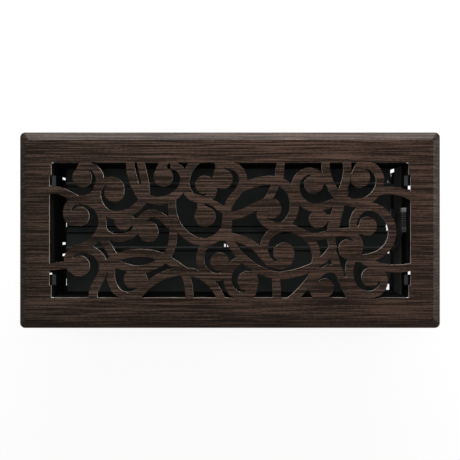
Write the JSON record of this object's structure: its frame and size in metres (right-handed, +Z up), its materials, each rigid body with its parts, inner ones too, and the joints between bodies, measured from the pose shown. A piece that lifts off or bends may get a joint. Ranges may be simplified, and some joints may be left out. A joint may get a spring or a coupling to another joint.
{
  "type": "floor register",
  "caption": "Rectangular floor vent register: pierced vine-scroll faceplate with a bevelled rim over a sheet box, with linked damper blades worked by a thumb lever.",
  "frame": {"origin": "under the centre of the faceplate, at the lower edge of the damper box", "axes": "+X along the register's length, +Z up through the faceplate, the damper lever at +X"},
  "size_m": [0.294, 0.137, 0.057],
  "materials": {
    "bronze_plate": "satin, brushed dark bronze",
    "box_sheet": "satin black",
    "damper_sheet": "satin black",
    "plain_steel": "drawn wire, dull",
    "lever_steel": "satin dark grey",
    "grip_metal": "dull cast grey"
  },
  "bodies": {
    "register": {"faceplate": "bronze_plate", "rear_side_wall": "box_sheet", "front_side_wall": "box_sheet", "left_end_wall": "box_sheet", "right_end_wall": "box_sheet"},
    "rear_damper": {"rear_blade": "damper_sheet", "rear_axle_rod": "plain_steel", "rear_crank_pin": "plain_steel"},
    "front_damper": {"front_blade": "damper_sheet", "front_axle_rod": "plain_steel", "front_crank_pin": "plain_steel"},
    "damper_lever": {"control_link": "lever_steel", "thumb_grip": "grip_metal"}
  },
  "joints": [
    {"name": "rear_damper_swing", "type": "hinge", "parent": "register", "child": "rear_damper", "pos_m": [0, 0.03405, 0.016], "axis": [-1, 0, 0], "range_deg": [0, 80]},
    {"name": "front_damper_swing", "type": "hinge", "parent": "register", "child": "front_damper", "pos_m": [0, -0.01415, 0.016], "axis": [-1, 0, 0], "range_deg": [0, 80]},
    {"name": "lever_pivot", "type": "hinge", "parent": "rear_damper", "child": "damper_lever", "pos_m": [0.12135, 0.04067, 0.00811], "axis": [-1, 0, 0], "range_deg": [-80, 0]}
  ],
  "couplings": [
    {"joint": "front_damper_swing", "follows": "rear_damper_swing", "ratio": 1},
    {"joint": "lever_pivot", "follows": "rear_damper_swing", "ratio": -1}
  ]
}
